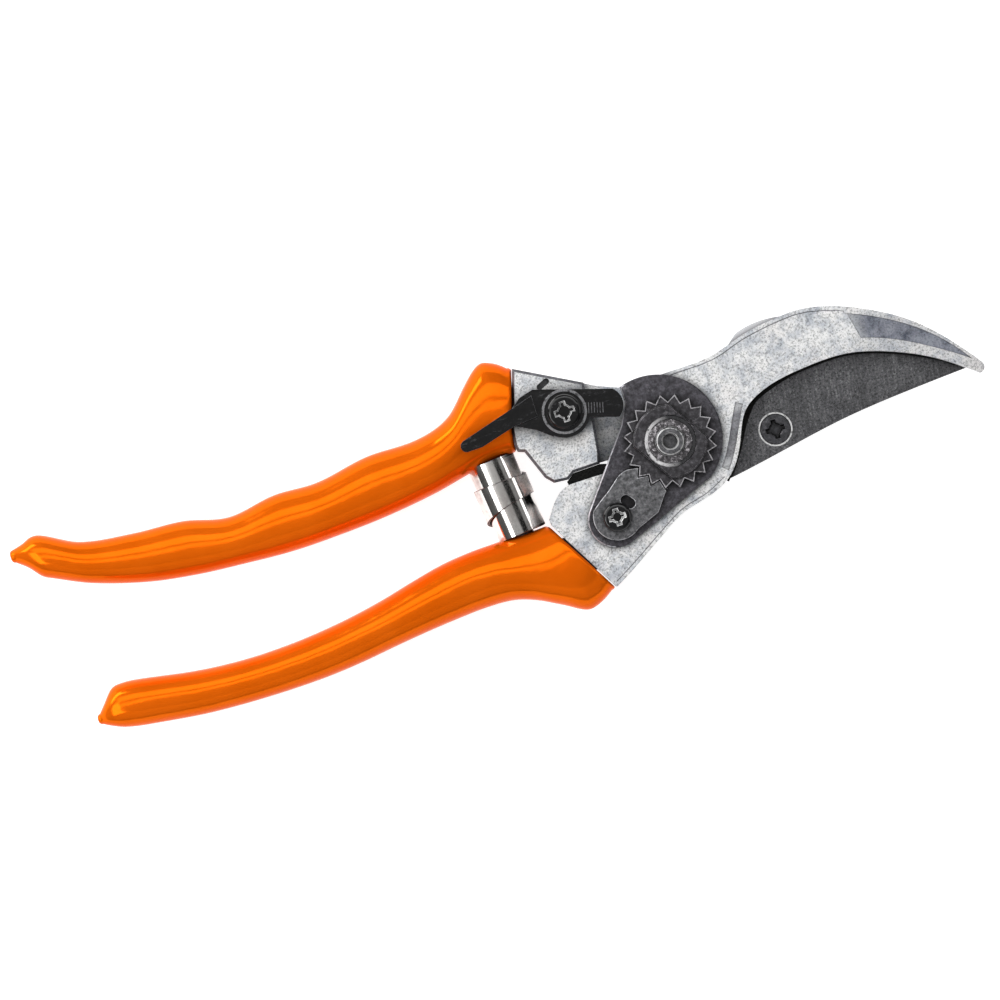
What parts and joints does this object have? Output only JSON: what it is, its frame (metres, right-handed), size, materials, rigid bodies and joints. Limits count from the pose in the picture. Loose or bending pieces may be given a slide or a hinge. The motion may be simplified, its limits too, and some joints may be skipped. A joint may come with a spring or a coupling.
{
  "type": "bypass pruner",
  "caption": "Hand pruner with a hooked counter blade, curved cutting blade, dipped grips, volute spring, toothed pivot nut and thumb catch.",
  "frame": {"origin": "on the pivot axis, on the flat back of the pivot bolt's head, on which the tool lies", "axes": "+X from the handle ends to the blade's tip, +Y towards the handle that carries the blade, +Z along the pivot towards the nut"},
  "size_m": [0.2155, 0.0586, 0.0223],
  "materials": {
    "forged_aluminium": "bead-blasted forging, mottled, with ground edges",
    "dipped_grip": "glossy orange dip with soft ripples",
    "blade_steel": "dark steel, ground across the blade",
    "dark_steel": "blackened steel with worn edges",
    "segment_steel": "sheared steel, satin",
    "nut_steel": "dark steel with bright worn edges",
    "bushing_metal": "plain bearing bronze",
    "black_screws": "black oxide with bright socket edges",
    "catch_black": "glossy black coating",
    "spring_chrome": "bright plated strip",
    "cushion_rubber": "matt black rubber"
  },
  "bodies": {
    "hook_handle": {"hook_frame": "forged_aluminium", "lower_grip": "dipped_grip", "pivot_plate": "dark_steel", "pivot_bolt": "nut_steel", "head_washer": "nut_steel", "toothed_nut": "nut_steel", "locking_segment": "segment_steel", "segment_screw": "black_screws", "volute_spring": "spring_chrome", "lower_spring_peg": "nut_steel", "stop_cushion": "cushion_rubber"},
    "blade_handle": {"blade_frame": "forged_aluminium", "upper_grip": "dipped_grip", "blade": "blade_steel", "blade_screw": "blade_steel", "pivot_bushing": "bushing_metal", "catch_screw": "black_screws", "catch_washer": "black_screws", "upper_spring_peg": "nut_steel"},
    "thumb_catch": {"catch_lever": "catch_black"}
  },
  "joints": [
    {"name": "main_pivot", "type": "hinge", "parent": "hook_handle", "child": "blade_handle", "pos_m": [0, 0, 0.0137], "axis": [0, 0, -1], "range_deg": [0, 30], "stiffness_Nm_per_rad": 1.2, "springref_deg": 40.11, "deforming": ["volute_spring"]},
    {"name": "catch_pivot", "type": "hinge", "parent": "blade_handle", "child": "thumb_catch", "pos_m": [-0.0201, 0.0129, 0.0186], "axis": [0, 0, 1], "range_deg": [0, 45]}
  ],
  "couplings": [
    {"joint": "catch_pivot", "follows": "main_pivot", "ratio": 1.5}
  ]
}
